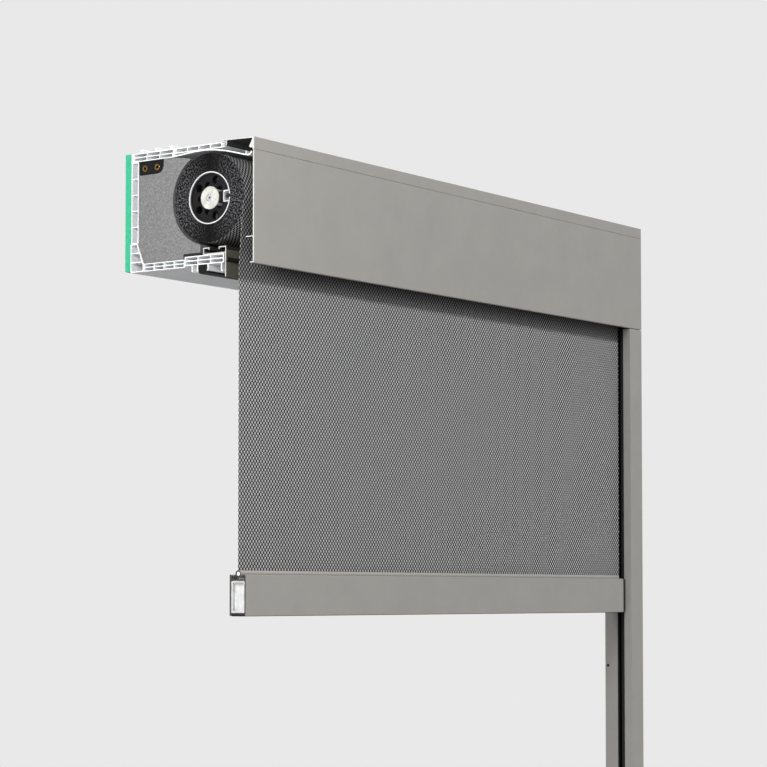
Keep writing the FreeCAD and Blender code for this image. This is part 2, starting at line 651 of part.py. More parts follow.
CAVITY = rect(BAR_FRONT + WALL, -610.5, BAR_BACK - WALL, BAR_TOP - WALL)
pad(bar, [BAR_SECTION, CAVITY], D["bar_length"], "bar_length", offset=LEFT)
KEDER_Z = -553.8
RING_OUT = 5.2
RING_IN = 3.3
gap = math.degrees(math.asin(1.3 / RING_OUT))
gap_in = math.degrees(math.asin(1.3 / RING_IN))
k_out = arc_by_centre((PLANE, KEDER_Z), RING_OUT, 90 + gap, 450 - gap)
k_in = arc_by_centre((PLANE, KEDER_Z), RING_IN, 450 - gap_in, 90 + gap_in)
pad(bar, [[k_out[0], ("arc", k_out[1], k_out[2]), k_in[0], ("arc", k_in[1], k_in[2])]],
    D["bar_length"], "bar_length", offset=LEFT)
bar_neck = rect(PLANE - 1.4, BAR_TOP - 0.5, PLANE + 1.4, -558.2)
pad(bar, [bar_neck], D["bar_length"], "bar_length", offset=LEFT)

bar_keder = body("bar_keder")
pad(bar_keder, [("circle", PLANE, KEDER_Z, RING_IN - 0.4)], 1078.0, offset=LEFT + 0.5)

weight = body("weight_bar")
pad(weight, [rect(BAR_FRONT + 3.0, -610.4, BAR_BACK - 3.0, -600.4)], 1040.0, offset=16.0)

plug = body("bar_plug")
pad(plug, [rect(BAR_FRONT + 2.05, -610.4, BAR_BACK - 2.05, -563.8),
           rect(BAR_FRONT + 4.5, -607.5, BAR_BACK - 4.5, -566.5)], 14.0, offset=-1.5)
pad(plug, [rect(BAR_FRONT + 4.0, -608.0, BAR_BACK - 4.0, -566.0)], 2.0, offset=4.0)

bar_seal = body("bar_seal")
BAR_SEAL = [
    (BAR_FRONT + 2.1, -612.6), (BAR_FRONT + 2.1, -614.8), (BAR_FRONT + 5, -615.5),
    (BAR_BACK - 5, -615.5), (BAR_BACK - 2.1, -614.8), (BAR_BACK - 2.1, -612.6),
]
pad(bar_seal, [BAR_SEAL], 1080.0, offset=LEFT + 1)

# Right end cap of the bar with the tongue and bead that run in the guide rail.
CAP_X = LEFT + D["bar_length"]
end_cap = body("bar_end_cap")
pad(end_cap, [rect(BAR_FRONT, -615, BAR_BACK, -555)], 4.0, offset=CAP_X)
pad(end_cap, [rect(BAR_FRONT + 2.2, -599.8, BAR_BACK - 2.2, -563.9)], 24.2, offset=CAP_X - 24.0)
pad(end_cap, [rect(PLANE - 1.0, -613, PLANE + 1.0, -565)], 27.0, offset=CAP_X + 3.5)
pad(end_cap, [("circle", 1108.0, PLANE, 2.8)], 48.0, role="XY_Plane", offset=-613.0)

# ---------------------------------------------------------------- guide rail
RAIL = D["rail_left"]
RAIL_Z = D["rail_foot"]
RAIL_BACK = D["rail_back"]
RAIL_LEG = RAIL + 2.4
RAIL_MID = -54.0
COVER_BACK = -69.7

rail_base = body("rail_base")
RAIL_BASE = [
    (RAIL_LEG, RAIL_BACK), (RAIL_LEG, RAIL_MID), (WIDTH - 2.0, RAIL_MID), (WIDTH - 2.0, COVER_BACK + 0.1),
    (WIDTH, COVER_BACK + 0.1), (WIDTH, RAIL_BACK),
]
base_cells = [
    rect(RAIL_LEG + 1.8, RAIL_MID + 1.8, 1108.4, RAIL_BACK - 1.8),
    rect(1110.2, RAIL_MID + 1.8, WIDTH - 1.8, RAIL_BACK - 1.8),
]
pad(rail_base, [RAIL_BASE] + base_cells, D["rail_length"], "rail_length", role="XY_Plane", offset=RAIL_Z)

rail_cover = body("rail_cover")
cover_cells = [
    rect(RAIL + 1.8, FACE + 1.8, 1107.2, COVER_BACK - 1.8),
    rect(1109.0, FACE + 1.8, WIDTH - 1.8, COVER_BACK - 1.8),
]
cover_section = [rect(RAIL, FACE, WIDTH, COVER_BACK)] + cover_cells
pad(rail_cover, cover_section, D["rail_length"], "rail_length", role="XY_Plane", offset=RAIL_Z)

# Black insert that holds the toothed edge of the screen.
zip_insert = body("zip_insert")
ZIP_A, ZIP_B = COVER_BACK + 0.1, RAIL_MID - 0.1
SLIT = 1.7
ZIP_SECTION = [
    (1090.6, ZIP_A), (1124.0, ZIP_A), (1124.0, ZIP_B), (1090.6, ZIP_B), (1090.6, PLANE + SLIT + 1.2),
    (1093.0, PLANE + SLIT), (1097.0, PLANE + SLIT), (1097.0, PLANE + 3.6), (1120.0, PLANE + 3.6),
    (1120.0, PLANE - 7.0), (1097.0, PLANE - 7.0), (1097.0, PLANE - SLIT), (1093.0, PLANE - SLIT),
    (1090.6, PLANE - SLIT - 1.2),
]
pad(zip_insert, [ZIP_SECTION], D["rail_length"] - 6.0, role="XY_Plane", offset=RAIL_Z + 5.0)

# Fixing holes in the rail's back wall and access holes with black plugs in its side wall.
HOLE_LEVELS = [-180.0, -711.0, -1060.0]
for z in HOLE_LEVELS:
    pocket(rail_base, [("circle", 1101.0, z, 2.6)], 3.0, role="XZ_Plane", offset=-RAIL_BACK - 0.5)
    pocket(rail_base, [("circle", -34.0, z, 2.7)], 3.0, role="YZ_Plane", offset=RAIL_LEG - 0.5)
plugs = []
for index, z in enumerate(HOLE_LEVELS):
    stem = rod("plug_stem_%d" % index, 2.65, (RAIL_LEG + 0.3, -34.0, z), (1, 0, 0), 2.7)
    dimple = rod("plug_dimple_%d" % index, 1.2, (RAIL_LEG, -34.0, z), (1, 0, 0), 1.6)
    plugs.append(cut("plug_%d" % index, stem, dimple))
keep(compound("rail_plug_set", plugs), "rail_plugs")

foot_cap = body("rail_foot_cap")
FOOT_CAP = [
    (RAIL, FACE), (WIDTH, FACE), (WIDTH, RAIL_BACK), (RAIL_LEG, RAIL_BACK),
    (RAIL_LEG, COVER_BACK), (RAIL, COVER_BACK),
]
spigot = rect(1111.0, RAIL_MID + 2.4, WIDTH - 2.6, RAIL_BACK - 2.4)
pad(foot_cap, [FOOT_CAP], 3.0, role="XY_Plane", offset=RAIL_Z - 3.0)
pad(foot_cap, [spigot], 12.0, role="XY_Plane", offset=RAIL_Z - 0.5)

# Inlet that leads the screen edge from the roll into the rail.
inlet = body("inlet_guide")
INLET = [
    (1091.5, -68.0), (LENGTH, -68.0), (LENGTH, -47.0), (1091.5, -47.0),
    (1091.5, -55.0), (1116.0, -55.0), (1116.0, -65.4), (1091.5, -65.4),
]
pad(inlet, [INLET], 32.0, role="XY_Plane", offset=-102.2)

# ---------------------------------------------------------------- checks and export
doc.recompute()
names = [obj.Label for obj in nodes]
if len(set(names)) != len(names):
    raise RuntimeError("a sub-part name is used twice")
for obj in doc.Objects:
    if "Invalid" in obj.State or "Error" in obj.State:
        raise RuntimeError("feature failed: " + obj.Name)
for obj in nodes:
    shape = obj.Shape
    if shape.isNull() or not shape.isValid():
        raise RuntimeError("bad shape: " + obj.Label)
    shape.exportStep("parts/%s.step" % obj.Label)
print("%d sub-parts exported" % len(nodes))
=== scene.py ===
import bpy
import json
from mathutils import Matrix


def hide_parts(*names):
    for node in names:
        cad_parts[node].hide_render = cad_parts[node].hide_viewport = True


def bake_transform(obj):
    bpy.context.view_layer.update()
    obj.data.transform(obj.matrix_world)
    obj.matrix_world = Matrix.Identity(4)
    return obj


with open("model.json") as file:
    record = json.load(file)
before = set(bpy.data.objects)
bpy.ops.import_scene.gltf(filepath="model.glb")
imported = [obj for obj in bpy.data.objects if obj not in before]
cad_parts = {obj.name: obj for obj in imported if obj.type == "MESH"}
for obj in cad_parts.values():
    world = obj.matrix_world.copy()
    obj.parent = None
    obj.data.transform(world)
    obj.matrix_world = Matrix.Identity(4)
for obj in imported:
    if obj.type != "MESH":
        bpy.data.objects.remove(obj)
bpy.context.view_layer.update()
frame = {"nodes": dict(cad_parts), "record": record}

import json
import math

import bpy
from mathutils import Vector

MM = 0.001
nodes = frame["nodes"]


# ------------------------------------------------------------------ shader building
class Shader:
    """One procedural material on the row frame's own coordinates, in millimetres."""

    def __init__(self, name):
        self.mat = bpy.data.materials.new(name)
        self.mat.use_nodes = True
        self.tree = self.mat.node_tree
        self.bsdf = self.tree.nodes["Principled BSDF"]
        coords = self.add("ShaderNodeTexCoord")
        scale = self.add("ShaderNodeVectorMath", operation="SCALE")
        scale.inputs["Scale"].default_value = 1000.0
        self.link(coords.outputs["Object"], scale.inputs[0])
        self.mm = scale.outputs[0]
        self.bevel = None
        self.geometry = self.add("ShaderNodeNewGeometry")

    def add(self, kind, **props):
        node = self.tree.nodes.new(kind)
        for key, value in props.items():
            setattr(node, key, value)
        return node

    def link(self, a, b):
        self.tree.links.new(a, b)

    def put(self, value, socket):
        if isinstance(value, (int, float)):
            socket.default_value = value
        elif isinstance(value, (tuple, list)):
            is_color = len(value) == 3 and socket.type != "VECTOR"
            socket.default_value = (*value, 1.0) if is_color else tuple(value)
        else:
            self.link(value, socket)

    def math(self, op, a, b=0.0):
        node = self.add("ShaderNodeMath", operation=op)
        self.put(a, node.inputs[0])
        self.put(b, node.inputs[1])
        return node.outputs[0]

    def mix(self, a, b, share, blend="MIX"):
        node = self.add("ShaderNodeMix", data_type="RGBA", blend_type=blend)
        self.put(share, node.inputs["Factor"])
        self.put(a, node.inputs[6])
        self.put(b, node.inputs[7])
        return node.outputs[2]

    def stretch(self, factors):
        node = self.add("ShaderNodeVectorMath", operation="MULTIPLY")
        self.link(self.mm, node.inputs[0])
        node.inputs[1].default_value = factors
        return node.outputs[0]

    def noise(self, size, detail=3.0, factors=None):
        """Noise whose features are about size millimetres across, from 0 to 1."""
        node = self.add("ShaderNodeTexNoise")
        self.link(self.stretch(factors) if factors else self.mm, node.inputs["Vector"])
        node.inputs["Scale"].default_value = 1.0 / size
        node.inputs["Detail"].default_value = detail
        node.inputs["Roughness"].default_value = 0.55
        return node.outputs[0]

    def cells(self, size, feature="F1", output="Distance"):
        node = self.add("ShaderNodeTexVoronoi", feature=feature)
        self.link(self.mm, node.inputs["Vector"])
        node.inputs["Scale"].default_value = 1.0 / size
        return node.outputs[output]

    def ramp(self, value, low, high, a=0.0, b=1.0):
        node = self.add("ShaderNodeMapRange")
        self.put(value, node.inputs["Value"])
        for key, number in (("From Min", low), ("From Max", high), ("To Min", a), ("To Max", b)):
            node.inputs[key].default_value = number
        return node.outputs[0]

    def axis(self, name):
        node = self.add("ShaderNodeSeparateXYZ")
        self.link(self.mm, node.inputs[0])
        return node.outputs[name]

    def facing(self, name):
        """How much the surface faces along a row axis, from 0 to 1."""
        node = self.add("ShaderNodeSeparateXYZ")
        self.link(self.geometry.outputs["True Normal"], node.inputs[0])
        return self.math("ABSOLUTE", node.outputs[name])

    def edges(self, radius=0.6):
        """Mask of worn edges, from the difference between the bevelled and the plain normal."""
        if self.bevel is None:
            self.bevel = self.add("ShaderNodeBevel", samples=4)
            self.bevel.inputs["Radius"].default_value = radius * MM
        dot = self.add("ShaderNodeVectorMath", operation="DOT_PRODUCT")
        self.link(self.bevel.outputs[0], dot.inputs[0])
        self.link(self.geometry.outputs["Normal"], dot.inputs[1])
        return self.ramp(dot.outputs["Value"], 0.99, 0.86)

    def bump(self, height, depth, strength=1.0):
        node = self.add("ShaderNodeBump")
        node.inputs["Strength"].default_value = strength
        node.inputs["Distance"].default_value = depth * MM
        self.link(height, node.inputs["Height"])
        if self.bevel is not None and not self.bsdf.inputs["Normal"].is_linked:
            self.link(self.bevel.outputs[0], node.inputs["Normal"])
        elif self.bsdf.inputs["Normal"].is_linked:
            self.link(self.bsdf.inputs["Normal"].links[0].from_socket, node.inputs["Normal"])
        self.link(node.outputs[0], self.bsdf.inputs["Normal"])

    def finish(self, color, rough, metal=0.0, **more):
        self.put(color, self.bsdf.inputs["Base Color"])
        self.put(rough, self.bsdf.inputs["Roughness"])
        self.put(metal, self.bsdf.inputs["Metallic"])
        for key, value in more.items():
            self.put(value, self.bsdf.inputs[key.replace("_", " ")])
        return self.mat


def shade(color, factor):
    return tuple(min(1.0, c * factor) for c in color)


# Where shade is painted on the box's front: behind the cover sheet, above its lower lip and below the
# sloping lid.
COVER_INNER = -82.8
LIP_TOP = -79.0
LID_SLOPE, LID_LEVEL = 0.0234, 83.17


def coated(name, color, sawn):
    """Powder-coated aluminium: orange peel, cloudiness, dust, worn edges, sawn open end, painted shade in
    the box's front.
    """
    s = Shader(name)
    worn = s.edges(0.7)
    cloud = s.ramp(s.noise(60.0, 3.0), 0.3, 0.7)
    base = s.mix(shade(color, 0.965), shade(color, 1.03), cloud)
    speck = s.ramp(s.noise(0.5, 2.0), 0.66, 0.74, 0.0, 0.25)
    base = s.mix(base, shade(color, 0.72), speck)
    base = s.mix(base, shade(color, 1.28), s.math("MULTIPLY", worn, 0.55))
    # Painted shade: behind the cover, the box's front is drawn nearly black and made rougher, standing in
    # for the shade there.
    lid = s.math("ADD", s.math("MULTIPLY", s.axis("Y"), LID_SLOPE), LID_LEVEL)
    behind = s.math("GREATER_THAN", s.axis("Y"), COVER_INNER)
    painted_shade_region = s.math("MULTIPLY", behind, s.math("GREATER_THAN", lid, s.axis("Z")))
    painted_shade_region = s.math("MULTIPLY", painted_shade_region, s.math("GREATER_THAN", s.axis("Z"), LIP_TOP))
    base = s.mix(base, shade(color, 0.09), s.math("MULTIPLY", painted_shade_region, 0.93))
    endwards = s.math("GREATER_THAN", s.facing("X"), 0.9)
    cut = s.math("MULTIPLY", endwards, s.math("LESS_THAN", s.axis("X"), 1.0))
    blade = s.noise(0.4, 2.0, (1.0, 0.1, 1.0))
    base = s.mix(base, s.mix(shade(sawn, 0.8), shade(sawn, 1.1), blade), cut)
    s.bump(s.noise(0.9, 2.0), 0.05, 0.5)
    s.bump(s.noise(260.0, 1.0, (0.2, 1.0, 1.0)), 0.6, 0.25)
    rough = s.ramp(s.noise(14.0, 4.0), 0.25, 0.75, 0.44, 0.6)
    rough = s.math("ADD", rough, s.math("MULTIPLY", painted_shade_region, 0.35))
    return s.finish(base, rough, 0.0, Specular_IOR_Level=0.42)


def extruded_pvc(name, color):
    """White window plastic: extrusion streaks along the length, sawn and slightly dusty cut ends."""
    s = Shader(name)
    worn = s.edges(0.35)
    cut = s.ramp(s.facing("X"), 0.8, 0.95)
    streak = s.noise(1.4, 2.0, (0.004, 1.0, 1.0))
    saw = s.noise(0.5, 2.0, (1.0, 0.12, 1.0))
    base = s.mix(shade(color, 0.94), shade(color, 1.03), streak)
    base = s.mix(base, shade(color, 1.06), s.math("MULTIPLY", cut, s.ramp(saw, 0.35, 0.65)))
    base = s.mix(base, shade(color, 0.82), s.ramp(s.noise(9.0, 4.0), 0.62, 0.8, 0.0, 0.5))
    base = s.mix(base, shade(color, 1.1), s.math("MULTIPLY", worn, 0.5))
    s.bump(s.math("ADD", streak, s.math("MULTIPLY", cut, saw)), 0.04, 0.6)
    rough = s.math("ADD", 0.3, s.math("MULTIPLY", cut, 0.28))
    return s.finish(base, rough, 0.0, Subsurface_Weight=0.12, Subsurface_Scale=0.004)


def board_foam(name, color):
    """Hard extruded foam: fine closed cells, planed skin, small pits."""
    s = Shader(name)
    grain = s.cells(0.55)
    mottled = s.ramp(s.noise(7.0, 4.0), 0.3, 0.7)
    base = s.mix(shade(color, 0.86), shade(color, 1.08), mottled)
    base = s.mix(base, shade(color, 0.66), s.ramp(grain, 0.55, 0.85, 0.0, 0.8))
    base = s.mix(base, shade(color, 1.35), s.ramp(s.noise(0.9, 1.0), 0.66, 0.75, 0.0, 0.35))
    s.bump(s.math("ADD", grain, s.noise(2.5, 3.0)), 0.12, 0.8)
    return s.finish(base, 0.82)


def bead_foam(name, color):
    """Cut bead foam: welded beads with dark seams and light graphite sparkle."""
    s = Shader(name)
    seam = s.cells(1.9, "DISTANCE_TO_EDGE")
    bead = s.add("ShaderNodeSeparateColor")
    s.link(s.cells(1.9, "F1", "Color"), bead.inputs[0])
    base = s.mix(shade(color, 0.76), shade(color, 1.2), bead.outputs[0])
    base = s.mix(shade(color, 0.6), base, s.ramp(seam, 0.0, 0.09))
    base = s.mix(base, shade(color, 1.4), s.ramp(s.noise(0.8, 2.0), 0.62, 0.74, 0.0, 0.4))
    base = s.mix(base, shade(color, 0.45), s.ramp(s.noise(1.1, 2.0, (1.3, 0.9, 1.2)), 0.63, 0.75, 0.0, 0.6))
    s.bump(s.math("ADD", s.ramp(seam, 0.0, 0.12), s.math("MULTIPLY", s.noise(0.7, 2.0), 0.6)), 0.25, 0.8)
    return s.finish(base, 0.9)


def moulded(name, color, rough=0.46, grain=0.35):
    """Moulded plastic: spark texture, faint flow marks, paler rubbed edges."""
    s = Shader(name)
    worn = s.edges(0.4)
    base = s.mix(shade(color, 0.85), shade(color, 1.18), s.ramp(s.noise(11.0, 3.0), 0.3, 0.7))
    base = s.mix(base, tuple(c * 1.6 + 0.012 for c in color), s.math("MULTIPLY", worn, 0.6))
    dust = s.ramp(s.noise(0.7, 2.0), 0.68, 0.78, 0.0, 0.04)
    base = s.mix(base, (0.35, 0.34, 0.32), dust)
    s.bump(s.noise(grain, 2.0), 0.05, 0.7)
    gloss = s.ramp(s.noise(5.0, 3.0), 0.3, 0.7, rough - 0.08, rough + 0.1)
    return s.finish(base, gloss, 0.0, Specular_IOR_Level=0.3)


def rubbery(name, color):
    """Soft seal: matt, with long extrusion lines and talc in the pores."""
    s = Shader(name)
    s.edges(0.5)
    base = s.mix(shade(color, 0.7), shade(color, 1.6), s.noise(1.2, 2.0, (0.01, 1.0, 1.0)))
    base = s.mix(base, (0.16, 0.16, 0.155), s.ramp(s.noise(3.0, 5.0), 0.6, 0.85, 0.0, 0.25))
    s.bump(s.noise(0.6, 2.0, (0.05, 1.0, 1.0)), 0.06, 0.7)
    return s.finish(base, 0.78)


def metal(name, color, rough=0.32, lines=(0.01, 1.0, 1.0), stain=0.3, metallic=1.0):
    """Bare metal: drawn or turned lines, handling stains, brighter edges."""
    s = Shader(name)
    worn = s.edges(0.35)
    line = s.noise(0.35, 3.0, lines)
    base = s.mix(shade(color, 0.86), shade(color, 1.1), line)
    base = s.mix(base, shade(color, 0.62), s.ramp(s.noise(16.0, 5.0), 0.5, 0.8, 0.0, stain))
    base = s.mix(base, shade(color, 1.3), s.math("MULTIPLY", worn, 0.5))
    s.bump(line, 0.02, 0.7)
    return s.finish(base, s.ramp(s.noise(7.0, 4.0), 0.3, 0.7, rough - 0.07, rough + 0.12), metallic)


def radius_of(s):
    y, z = s.axis("Y"), s.axis("Z")
    return s.math("SQRT", s.math("ADD", s.math("MULTIPLY", y, y), s.math("MULTIPLY", z, z)))


def turned(name, color, rough=0.3, metallic=1.0):
    """Turned part: tool rings about the roller axis on its faces."""
    s = Shader(name)
    worn = s.edges(0.35)
    ring = s.math("SINE", s.math("MULTIPLY", radius_of(s), 14.0))
    ring = s.math("MULTIPLY", s.math("ADD", ring, 1.0), 0.5)
    base = s.mix(shade(color, 0.88), shade(color, 1.08), ring)
    base = s.mix(base, shade(color, 0.6), s.ramp(s.noise(4.0, 5.0), 0.52, 0.8, 0.0, 0.5))
    base = s.mix(base, shade(color, 1.25), s.math("MULTIPLY", worn, 0.6))
    s.bump(ring, 0.03, 0.6)
    return s.finish(base, s.ramp(s.noise(3.0, 4.0), 0.3, 0.7, rough - 0.06, rough + 0.14), metallic)


def wound(name, color):
    """Copper winding: parallel lacquered wires, drawn darker between them and lighter on their crests as
    painted shade and highlight.
    """
    s = Shader(name)
    turn = s.math("SINE", s.math("MULTIPLY", radius_of(s), 9.0))
    wire = s.math("SINE", s.math("MULTIPLY", s.axis("X"), 9.0))
    height = s.math("ADD", turn, wire)
    # Painted shade and highlight: darker in the grooves between wires, lighter on their crests.
    base = s.mix(shade(color, 0.55), shade(color, 1.15), s.ramp(height, -1.4, 1.4))
    s.bump(height, 0.12, 0.8)
    return s.finish(base, 0.34, 0.9, Coat_Weight=0.4)


PITCH_ACROSS = 3.48
PITCH_DOWN = 4.05
ROLL_RADIUS = 66.4
TOOTH_PITCH = 5.0
TAPE_START = 1088.5
SHADE_FOOT, SHADE_HEAD = -121.0, -98.0
PALE_YARN = (0.515, 0.515, 0.517)
DARK_YARN = (0.012, 0.0125, 0.014)


def weave(s, across, along, pale, dark):
    """Plain weave of pale warp floats over dark weft. Takes thread counts, returns colour and height."""
    crests = [s.math("COSINE", s.math("MULTIPLY", value, math.pi)) for value in (across, along)]
    wave = s.math("MULTIPLY", *crests)
    over = s.ramp(wave, -0.04, 0.2)
    float_height = s.math("SQRT", s.math("ABSOLUTE", wave))
    fibre_warp = s.noise(1.0, 2.0, (2.6, 2.6, 0.25))
    fibre_weft = s.noise(1.0, 2.0, (0.25, 0.25, 2.6))
    pale_yarn = s.mix(shade(pale, 0.8), shade(pale, 1.12), fibre_warp)
    dark_yarn = s.mix(shade(dark, 0.6), shade(dark, 2.2), fibre_weft)
    yarn = s.mix(dark_yarn, pale_yarn, over)
    # Painted shade: the yarn is drawn darker down into the crevices between floats.
    painted_crevice_shade = s.ramp(float_height, 0.0, 0.5, 0.45, 1.0)
    crevice_shaded_yarn = s.mix((0.0, 0.0, 0.0), yarn, painted_crevice_shade)
    uneven = s.ramp(s.noise(30.0, 3.0), 0.3, 0.7, 0.0, 0.1)
    crevice_shaded_yarn = s.mix(crevice_shaded_yarn, shade(pale, 0.25), uneven)
    lint = s.ramp(s.noise(0.45, 2.0), 0.68, 0.76, 0.0, 0.12)
    return s.mix(crevice_shaded_yarn, shade(pale, 0.8), lint), float_height


def hanging_cloth(name):
    s = Shader(name)
    across = s.math("DIVIDE", s.axis("X"), PITCH_ACROSS)
    along = s.math("DIVIDE", s.axis("Z"), PITCH_DOWN)
    color, height = weave(s, across, along, PALE_YARN, DARK_YARN)
    # Black toothed tape along the guided edge.
    tooth = s.math("ABSOLUTE", s.math("SINE", s.math("MULTIPLY", s.axis("Z"), math.pi / TOOTH_PITCH)))
    edge = s.math("SUBTRACT", TAPE_START, s.math("MULTIPLY", tooth, 3.0))
    tape = s.math("GREATER_THAN", s.axis("X"), edge)
    color = s.mix(color, (0.004, 0.004, 0.004), tape)
    # The cloth is in the dark where it goes up behind the cover, except at the open end.
    dark = s.ramp(s.axis("Z"), SHADE_FOOT, SHADE_HEAD, 0.0, 0.84)
    behind = s.math("MULTIPLY", dark, s.ramp(s.axis("X"), 15.0, 90.0))
    color = s.mix(color, (0.0, 0.0, 0.0), behind)
    s.bump(height, 0.3, 0.7)
    s.bump(s.math("MULTIPLY", tape, s.math("ADD", 1.0, tooth)), 0.8, 0.8)
    return s.finish(color, 0.66, 0.0, Specular_IOR_Level=0.3)


def rolled_cloth(name):
    """The same cloth wound up: weave on the outside in paler yarn as painted light, layered and frayed
    edges on the ends with a painted sheen at their sides.
    """
    s = Shader(name)
    # Turned so that the angle's seam is at the top of the roll.
    angle = s.math("ARCTAN2", s.axis("Y"), s.math("MULTIPLY", s.axis("Z"), -1.0))
    threads = round(2 * math.pi * ROLL_RADIUS / PITCH_DOWN / 2) * 2
    across = s.math("DIVIDE", s.axis("X"), PITCH_ACROSS)
    along = s.math("MULTIPLY", angle, threads / (2 * math.pi))
    # Painted light: the wound outside is drawn in a yarn 1.5 times paler than the hanging cloth's, to make
    # up for the shade in the box.
    color, height = weave(s, across, along, shade(PALE_YARN, 1.5), DARK_YARN)

    radius = radius_of(s)
    layer = s.math("FRACT", s.math("ADD", s.math("DIVIDE", radius, 0.82), s.noise(5.0, 3.0)))
    layer = s.math("SUBTRACT", s.math("MULTIPLY", layer, 2.0), 1.0)
    layer = s.math("SUBTRACT", 1.0, s.math("ABSOLUTE", layer))
    polar = s.add("ShaderNodeCombineXYZ")
    s.link(s.math("DIVIDE", radius, 2.3), polar.inputs[0])
    s.link(s.math("MULTIPLY", angle, 21.0), polar.inputs[1])
    streaks = s.add("ShaderNodeTexNoise")
    streaks.inputs["Scale"].default_value = 1.0
    streaks.inputs["Detail"].default_value = 1.5
    s.link(polar.outputs[0], streaks.inputs["Vector"])
    # Painted sheen: the pale fibre ends are drawn mostly at the left and right of the end face and fade out
    # towards its top and bottom.
    painted_sheen_share = s.math("POWER", s.math("DIVIDE", s.math("ABSOLUTE", s.axis("Y")), radius), 1.2)
    fibres_and_sheen = s.ramp(streaks.outputs[0], 0.48, 0.62)
    fibres_and_sheen = s.math("MULTIPLY", fibres_and_sheen, s.ramp(painted_sheen_share, 0.0, 1.0, 0.05, 1.0))
    end = s.mix((0.002, 0.002, 0.0022), (0.009, 0.009, 0.0095), layer)
    end = s.mix(end, (0.125, 0.125, 0.13), fibres_and_sheen)
    end_height = s.math("ADD", s.math("MULTIPLY", layer, 0.6), fibres_and_sheen)
    facing = s.ramp(s.facing("X"), 0.6, 0.9)
    node = s.add("ShaderNodeMix", data_type="FLOAT")
    s.link(facing, node.inputs[0])
    s.link(height, node.inputs[2])
    s.link(end_height, node.inputs[3])
    s.bump(node.outputs[0], 0.3, 0.8)
    return s.finish(s.mix(color, end, facing), 0.8, 0.0, Specular_IOR_Level=0.06)


GREY = (0.335, 0.322, 0.302)
SLOTS = {
    "coated_grey": coated("coated_grey", GREY, (0.62, 0.62, 0.61)),
    # The bottom bar's open end is drawn nearly black, far darker than the box's sawn ends.
    "bar_grey": coated("bar_grey", GREY, (0.06, 0.06, 0.058)),
    "white_pvc": extruded_pvc("white_pvc", (0.9, 0.91, 0.92)),
    "green_foam": board_foam("green_foam", (0.045, 0.5, 0.28)),
    "grey_foam": bead_foam("grey_foam", (0.232, 0.232, 0.232)),
    "black_plastic": moulded("black_plastic", (0.007, 0.007, 0.0075)),
    "black_rubber": rubbery("black_rubber", (0.009, 0.009, 0.009)),
    "grey_plastic": moulded("grey_plastic", (0.36, 0.36, 0.35), 0.5, 0.6),
    "khaki_aluminium": coated("khaki_aluminium", (0.17, 0.168, 0.13), (0.6, 0.6, 0.585)),
    "raw_aluminium": metal("raw_aluminium", (0.95, 0.955, 0.96), 0.34, metallic=0.3),
    "brass": turned("brass", (0.7, 0.46, 0.17), 0.28),
    "steel": turned("steel", (0.74, 0.75, 0.77), 0.26, 0.75),
    "core_steel": metal("core_steel", (0.28, 0.28, 0.29), 0.42, (2.0, 0.05, 0.05)),
    "copper": wound("copper", (0.72, 0.3, 0.14)),
    "cream_plastic": moulded("cream_plastic", (0.56, 0.555, 0.51), 0.42, 0.5),
    "screen_cloth": rolled_cloth("screen_cloth"),
    "gear_plastic": moulded("gear_plastic", (0.66, 0.62, 0.48), 0.4, 0.6),
    "orange_plastic": moulded("orange_plastic", (0.72, 0.26, 0.02), 0.3, 0.5),
    "blue_film": moulded("blue_film", (0.02, 0.06, 0.22), 0.22, 2.0),
}
for part in frame["record"]["subparts"]:
    obj = nodes[part["node"]]
    obj.data.materials.clear()
    obj.data.materials.append(SLOTS[part["material_slot"]])
# The bar's plug is drawn a duller white than the profiles as painted shade, because its broad flat end
# catches more light than their narrow chambers; the axle pin is polished.
nodes["bar_plug"].data.materials[0] = moulded("plug_white", (0.74, 0.745, 0.745), 0.42, 0.4)
nodes["idler_pin"].data.materials[0] = turned("polished_pin", (0.7, 0.72, 0.76), 0.3, 0.4)


# ------------------------------------------------------------------ hanging screen
PLANE = -59.0
CLOTH = 0.7
WIDE = (-3.0, 1100.0)
COLUMNS = 74
HEM = 0.1
# Section of the cloth from the bottom bar up to the roll, as points (Y, Z).
SECTION = [(PLANE, -550.0), (PLANE, -418.0), (PLANE, -106.0), (-66.75, -6.5)]
STRIPS = [("screen_lower", 24), ("screen_middle", 62), ("screen_upper", 20)]


def ripple(across, height):
    """How far the slack cloth stands out of its plane, in millimetres."""
    foot, head = SECTION[0][1], SECTION[-1][1]
    v = (height - foot) / (head - foot)
    fade = math.sin(math.pi * v) * math.sin(math.pi * min(1.0, across * 1.02))
    return fade * (0.35 * math.sin(9.0 * across + 2.0 * v) + 0.2 * math.sin(23.0 * across - 5.0 * v))


def stations(count, length):
    """Even shares from 0 to 1, with a hair-thin step at each end to keep the rim's shading off the face."""
    rim = HEM / length
    return sorted({0.0, rim, 1.0 - rim, 1.0, *(k / count for k in range(1, count))})


